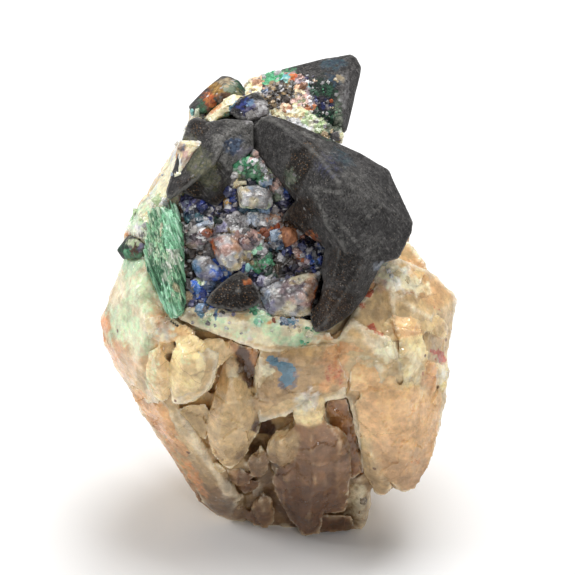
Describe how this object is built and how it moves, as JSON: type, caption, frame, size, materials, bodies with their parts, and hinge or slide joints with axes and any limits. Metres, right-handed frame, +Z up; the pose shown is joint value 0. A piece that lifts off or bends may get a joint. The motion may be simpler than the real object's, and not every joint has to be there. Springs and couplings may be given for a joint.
{
  "type": "cuprite crystal specimen",
  "caption": "Natural mineral specimen for display: dark faceted cuprite crystals round a blue and green druse pocket on pale broken quartz.",
  "frame": {"origin": "centre of the specimen's box, at the table it stands on", "axes": "+Z up, the longest way; the crystal face with the pocket looks along -Y and up; +X is to the right seen from there"},
  "size_m": [0.0498, 0.037, 0.0637],
  "materials": {
    "quartz": "milky quartz, iron-stained, glossy on fresh breaks",
    "cuprite": "tarnished grey-black, satin to sub-metallic",
    "malachite": "silky fibrous green",
    "crust": "druse of azurite, malachite and quartz grains",
    "clear_quartz": "translucent quartz, vitreous",
    "iron_oxide": "rusty orange, dull"
  },
  "bodies": {
    "root": {"quartz_matrix": "quartz", "azurite_malachite_crust": "crust", "cuprite_main": "cuprite", "cuprite_left": "cuprite", "cuprite_upper_left": "cuprite", "cuprite_back": "cuprite", "cuprite_ledge": "cuprite", "cuprite_pocket": "cuprite", "cuprite_edge": "cuprite", "malachite_sheaf": "malachite", "quartz_point": "clear_quartz", "quartz_grain_clear": "clear_quartz", "quartz_grain_peach": "clear_quartz", "quartz_grain_lilac": "clear_quartz", "iron_oxide_grain": "iron_oxide"}
  },
  "joints": []
}
